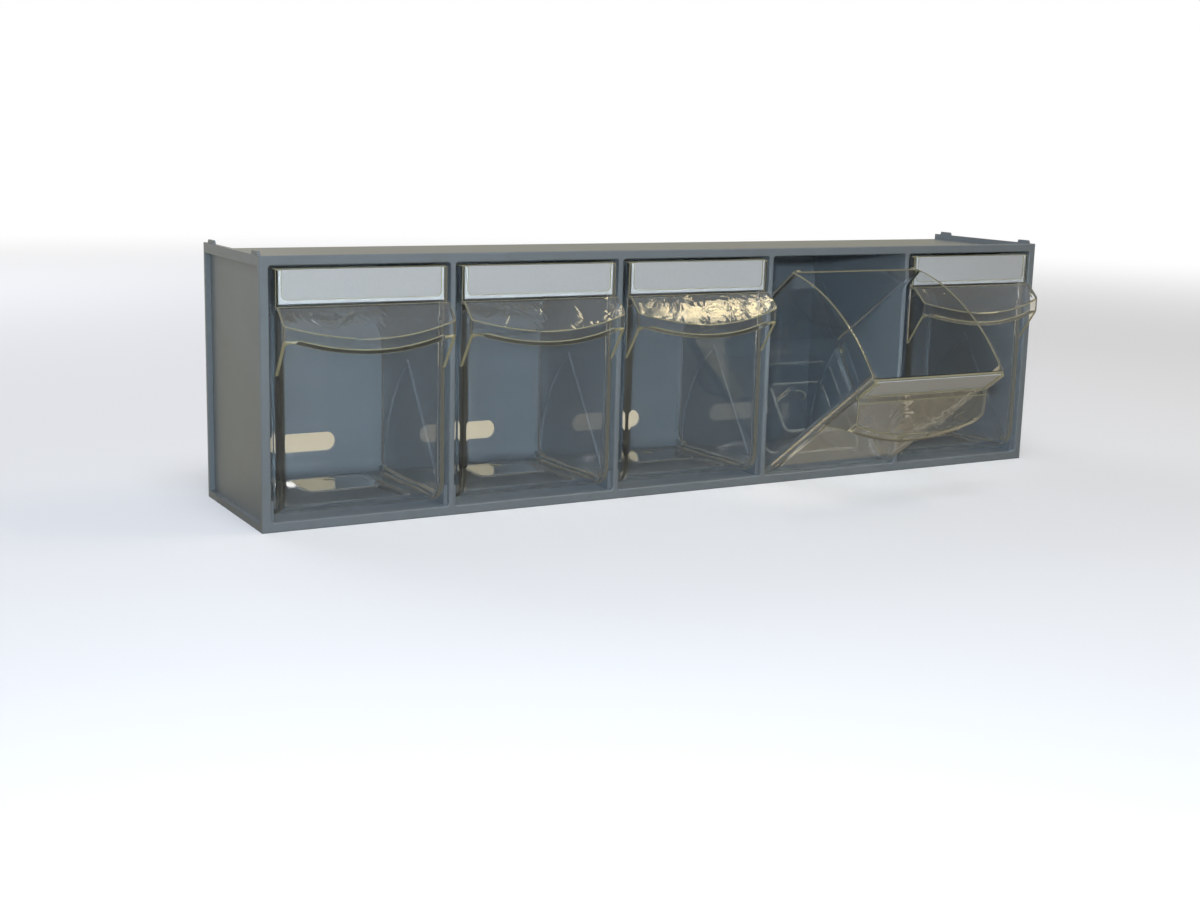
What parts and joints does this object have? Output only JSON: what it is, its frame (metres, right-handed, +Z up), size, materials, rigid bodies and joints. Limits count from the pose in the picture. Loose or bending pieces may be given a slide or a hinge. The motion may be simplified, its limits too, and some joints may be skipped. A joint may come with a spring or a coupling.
{
  "type": "tilt-out bin stand",
  "caption": "Low grey storage stand with a row of clear tilt-out bins, each with a hooded pull handle and a label pocket, hinged low at the front.",
  "frame": {"origin": "centre of the housing's footprint, on the base plane", "axes": "+X to the right along the row of bins, seen from the front; +Y from the front to the back; +Z up"},
  "size_m": [0.6, 0.2216, 0.1662],
  "materials": {
    "housing_plastic": "injection moulded polystyrene with a fine satin grain",
    "clear_plastic": "clear moulded polystyrene with a polished surface",
    "label_card": "plain pale paper card, unprinted"
  },
  "bodies": {
    "housing": {"left_end": "housing_plastic", "right_end": "housing_plastic", "base_panel": "housing_plastic", "top_panel": "housing_plastic", "back_panel": "housing_plastic", "partition_1": "housing_plastic", "partition_2": "housing_plastic", "partition_3": "housing_plastic", "partition_4": "housing_plastic"},
    "tilt_bin_1": {"bin_1": "clear_plastic", "label_1": "label_card"},
    "tilt_bin_2": {"bin_2": "clear_plastic", "label_2": "label_card"},
    "tilt_bin_3": {"bin_3": "clear_plastic", "label_3": "label_card"},
    "tilt_bin_4": {"bin_4": "clear_plastic", "label_4": "label_card"},
    "tilt_bin_5": {"bin_5": "clear_plastic", "label_5": "label_card"}
  },
  "joints": [
    {"name": "bin_1_tilt", "type": "hinge", "parent": "housing", "child": "tilt_bin_1", "pos_m": [-0.2368, -0.04325, 0.014], "axis": [1, 0, 0], "range_deg": [0, 54]},
    {"name": "bin_2_tilt", "type": "hinge", "parent": "housing", "child": "tilt_bin_2", "pos_m": [-0.1184, -0.04325, 0.014], "axis": [1, 0, 0], "range_deg": [0, 54]},
    {"name": "bin_3_tilt", "type": "hinge", "parent": "housing", "child": "tilt_bin_3", "pos_m": [0, -0.04325, 0.014], "axis": [1, 0, 0], "range_deg": [0, 54]},
    {"name": "bin_4_tilt", "type": "hinge", "parent": "housing", "child": "tilt_bin_4", "pos_m": [0.1184, -0.04325, 0.014], "axis": [1, 0, 0], "range_deg": [-54, 0]},
    {"name": "bin_5_tilt", "type": "hinge", "parent": "housing", "child": "tilt_bin_5", "pos_m": [0.2368, -0.04325, 0.014], "axis": [1, 0, 0], "range_deg": [0, 54]}
  ]
}
